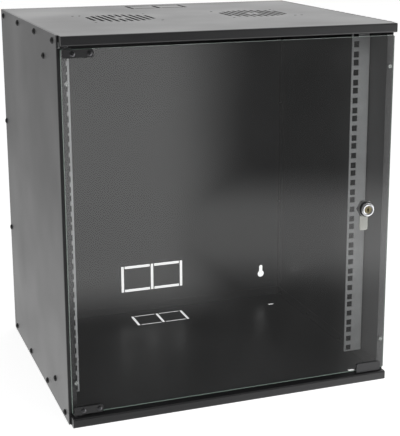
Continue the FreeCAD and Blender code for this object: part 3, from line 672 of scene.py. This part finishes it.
def aim(thing, place, target):
    """Stand a lamp or the camera at a place, looking at a target."""
    thing.location = place
    thing.rotation_euler = (Vector(target) - Vector(place)).to_track_quat("-Z", "Y").to_euler()


def add_lamp(name, place, target, size, power):
    """A soft lamp whose own shape the paint, metal and glass don't show."""
    lamp = bpy.data.lights.new(name, "AREA")
    lamp.shape = "RECTANGLE"
    lamp.size, lamp.size_y = size
    lamp.energy = power
    holder = bpy.data.objects.new(name, lamp)
    holder.visible_glossy = False
    bpy.context.scene.collection.objects.link(holder)
    aim(holder, place, target)


# ---------------------------------------------------------------- settings
class CabinetCoatSettings(bpy.types.PropertyGroup):
    colour: bpy.props.FloatVectorProperty(
        name="Coat colour", description="Colour of the powder coat on the panels",
        subtype="COLOR", size=4, min=0, max=1, default=linear("#222223"))
    roughness: bpy.props.FloatProperty(
        name="Coat roughness", description="0 is a mirror, 1 is dead matt",
        subtype="FACTOR", min=0.1, max=0.9, default=0.34)
    grain: bpy.props.FloatProperty(
        name="Orange peel", description="Crest to crest size of the coat's texture, in mm",
        min=0.3, max=6, default=1.2)


class CabinetMetalSettings(bpy.types.PropertyGroup):
    rail_colour: bpy.props.FloatVectorProperty(
        name="Rail zinc", description="Colour of the zinc plate on the rails",
        subtype="COLOR", size=4, min=0, max=1, default=linear("#c8c9ca"))
    screw_colour: bpy.props.FloatVectorProperty(
        name="Black zinc", description="Colour of the black zinc plate on the screws",
        subtype="COLOR", size=4, min=0, max=1, default=linear("#060606"))
    recess_length: bpy.props.FloatProperty(
        name="Recess length", description="Length of the cross recess in a panel screw",
        subtype="DISTANCE", min=1 * MM, max=7 * MM, default=4.8 * MM)
    seed: bpy.props.IntProperty(
        name="Turn seed", description="Changes how far each screw is turned", min=0, default=7)


class CabinetDoorSettings(bpy.types.PropertyGroup):
    edge_colour: bpy.props.FloatVectorProperty(
        name="Glass edge", description="Colour of the ground edges",
        subtype="COLOR", size=4, min=0, max=1, default=linear("#9fb3a8"))
    body_tint: bpy.props.FloatVectorProperty(
        name="Glass tint", description="Colour that a long path through the sheet keeps",
        subtype="COLOR", size=4, min=0, max=1, default=linear("#b3e1d0"))
    tint_density: bpy.props.FloatProperty(
        name="Tint density", description="Strength of the tint, per metre", min=0, default=4.0)


class CabinetStageSettings(bpy.types.PropertyGroup):
    floor_colour: bpy.props.FloatVectorProperty(
        name="Floor", description="Colour of the studio floor",
        subtype="COLOR", size=4, min=0, max=1, default=linear("#e6e6e6"))
    surround: bpy.props.FloatProperty(
        name="Surround", description="Soft light from all round", min=0, default=0.38)
    key_power: bpy.props.FloatProperty(
        name="Key lamp", description="Power of the small soft lamp at the front right",
        unit="POWER", min=0, default=10.5)
    fill_power: bpy.props.FloatProperty(
        name="Fill lamp", description="Power of the big soft lamp at the front left",
        unit="POWER", min=0, default=18.0)
    rim_power: bpy.props.FloatProperty(
        name="Rim lamp", description="Power of the faint soft lamp at the back right",
        unit="POWER", min=0, default=0.6)
    lens: bpy.props.FloatProperty(
        name="Lens", description="Focal length of the camera",
        subtype="DISTANCE_CAMERA", min=10, default=93.0)


# ---------------------------------------------------------------- operators
class CABINET_OT_coat_panels(bpy.types.Operator):
    """Powder coats the five sheet metal panels"""
    bl_idname = "cabinet.coat_panels"
    bl_label = "Coat the panels"

    def execute(self, context):
        settings = context.scene.cabinet_coat
        coat = powder_coat("powder_coat_satin_black", settings.colour, settings.roughness,
                           settings.grain)
        cover(coat, "bottom_panel", "top_panel", "rear_panel",
              "left_side_panel", "right_side_panel")
        return {"FINISHED"}


class CABINET_OT_plate_rails(bpy.types.Operator):
    """Zinc plates the two rack rails and the nuts that hold them"""
    bl_idname = "cabinet.plate_rails"
    bl_label = "Plate the rails"

    def execute(self, context):
        settings = context.scene.cabinet_metal
        # Streaks run up the rail, as the strip was rolled.
        rail = plated_steel("zinc_plated_rolled_steel", settings.rail_colour, 0.42, 1.5,
                            (1.0, 1.0, 0.06), metal=0.1)
        cover(rail, "left_rail", "right_rail")
        nut = plated_steel("bright_zinc_plate", BRIGHT_ZINC, 0.3, 0.8)
        cover(nut, "left_rail_nuts", "right_rail_nuts", "lock_washer")
        return {"FINISHED"}


class CABINET_OT_fit_screws(bpy.types.Operator):
    """Fits cross recessed screws to the side panels, rails, hinges and cam"""
    bl_idname = "cabinet.fit_screws"
    bl_label = "Fit the screws"

    def execute(self, context):
        settings = context.scene.cabinet_metal
        tree = recessed_screw_tree()
        finishes = {
            "black": plated_steel("black_zinc_plate", settings.screw_colour, 0.55, 0.8,
                                  metal=0.0),
            "bright": plated_steel("bright_zinc_screw", BRIGHT_ZINC, 0.28, 0.8),
            "smoked": plated_steel("black_chrome_plate", linear("#59595b"), 0.34, 0.8),
        }
        for index, (node_name, side, body, slot_name, finish, sizes) in enumerate(SCREW_SETS):
            make_screws(tree, node_name, side, body,
                        {"Recess Length": settings.recess_length, **sizes,
                         "Finish": finishes[finish], "Seed": settings.seed + index})
        return {"FINISHED"}


class CABINET_OT_glaze_door(bpy.types.Operator):
    """Gives the door its glass, clear bumpers and corner guard"""
    bl_idname = "cabinet.glaze_door"
    bl_label = "Glaze the door"

    def execute(self, context):
        settings = context.scene.cabinet_door
        cover(float_glass("toughened_float_glass", settings.edge_colour, settings.body_tint,
                          settings.tint_density), "glass_door")
        turned("door_bumpers", "_domed", "door",
               clear_rubber("clear_polyurethane", linear("#c9ccca")), STUD,
               middles("door_bumpers"), closed=False)
        cover(moulded("moulded_black_abs", linear("#262628"), 0.42, 0.7), "door_corner_clip")
        return {"FINISHED"}


class CABINET_OT_finish_hinges(bpy.types.Operator):
    """Finishes the hinge clamps, their pads and the pivot bushes"""
    bl_idname = "cabinet.finish_hinges"
    bl_label = "Finish the hinges"

    def execute(self, context):
        plate = powder_coat("hinge_e_coat_black", linear("#262627"), 0.36, 1.2)
        cover(plate, "upper_hinge_front_plate", "lower_hinge_front_plate",
              "upper_hinge_bracket", "lower_hinge_bracket")
        cover(moulded("neoprene_rubber", linear("#19191a"), 0.75, 0.9),
              "upper_hinge_pads", "lower_hinge_pads", "lock_gasket")
        cover(moulded("acetal_bush_black", linear("#202022"), 0.5, 0.9),
              "upper_hinge_bush", "lower_hinge_bush")
        return {"FINISHED"}


class CABINET_OT_finish_lock(bpy.types.Operator):
    """Finishes the cam lock: chromed case, brass cylinder, black nut and zinc cam"""
    bl_idname = "cabinet.finish_lock"
    bl_label = "Finish the lock"

    def execute(self, context):
        chrome = plated_steel("polished_chrome_plate", linear("#cdced0"), 0.16, 2.0,
                              metal=0.88)
        turned("lock_body", "_turned", "door", chrome, LOCK_CASE,
               middles("lock_body"), closed=True)
        cover(plated_steel("nickel_plated_brass", linear("#756c52"), 0.3, 0.6,
                           metal=0.5), "lock_plug")
        cover(plated_steel("blackened_steel", linear("#1a1a1b"), 0.4, 0.8,
                           metal=0.0), "lock_nut")
        cover(plated_steel("zinc_plated_cam", linear("#a9a8a2"), 0.36, 0.8,
                           (1.0, 1.0, 0.2), metal=0.85), "lock_cam")
        return {"FINISHED"}


class CABINET_OT_build_stage(bpy.types.Operator):
    """Builds the floor, the surround, the soft lamps and the camera"""
    bl_idname = "cabinet.build_stage"
    bl_label = "Build the stage"

    def execute(self, context):
        settings = context.scene.cabinet_stage
        build_floor(settings.floor_colour)
        build_surround(settings.surround)
        add_lamp(*KEY_LAMP, settings.key_power)
        add_lamp(*FILL_LAMP, settings.fill_power)
        add_lamp(*RIM_LAMP, settings.rim_power)
        camera = bpy.data.objects.new("studio_camera", bpy.data.cameras.new("studio_camera"))
        context.scene.collection.objects.link(camera)
        camera.data.lens = settings.lens
        camera.data.sensor_width = SENSOR_WIDTH
        camera.data.shift_x, camera.data.shift_y = CAMERA_SHIFT
        aim(camera, CAMERA_PLACE, CAMERA_TARGET)
        context.scene.camera = camera
        context.scene.view_settings.view_transform = "Standard"
        return {"FINISHED"}


class CABINET_PT_parts(bpy.types.Panel):
    """The cabinet's settings and steps"""
    bl_idname = "CABINET_PT_parts"
    bl_label = "Network cabinet"
    bl_space_type = "VIEW_3D"
    bl_region_type = "UI"
    bl_category = "Cabinet"

    def draw(self, context):
        scene = context.scene
        for settings in (scene.cabinet_coat, scene.cabinet_metal,
                         scene.cabinet_door, scene.cabinet_stage):
            box = self.layout.box()
            for name in settings.__annotations__:
                box.prop(settings, name)
        for step in STEPS:
            self.layout.operator(step.bl_idname)


STEPS = (CABINET_OT_coat_panels, CABINET_OT_plate_rails, CABINET_OT_fit_screws,
         CABINET_OT_glaze_door, CABINET_OT_finish_hinges, CABINET_OT_finish_lock,
         CABINET_OT_build_stage)
SETTINGS = {
    "cabinet_coat": CabinetCoatSettings,
    "cabinet_metal": CabinetMetalSettings,
    "cabinet_door": CabinetDoorSettings,
    "cabinet_stage": CabinetStageSettings,
}


def register():
    for name, group in SETTINGS.items():
        bpy.utils.register_class(group)
        setattr(bpy.types.Scene, name, bpy.props.PointerProperty(type=group))
    for step in STEPS:
        bpy.utils.register_class(step)
    bpy.utils.register_class(CABINET_PT_parts)


def unregister():
    bpy.utils.unregister_class(CABINET_PT_parts)
    for step in reversed(STEPS):
        bpy.utils.unregister_class(step)
    for name, group in SETTINGS.items():
        delattr(bpy.types.Scene, name)
        bpy.utils.unregister_class(group)


def main():
    register()
    bpy.ops.cabinet.coat_panels()
    bpy.ops.cabinet.plate_rails()
    bpy.ops.cabinet.fit_screws()
    bpy.ops.cabinet.glaze_door()
    bpy.ops.cabinet.finish_hinges()
    bpy.ops.cabinet.finish_lock()
    bpy.ops.cabinet.build_stage()


if __name__ == "__main__":
    main()
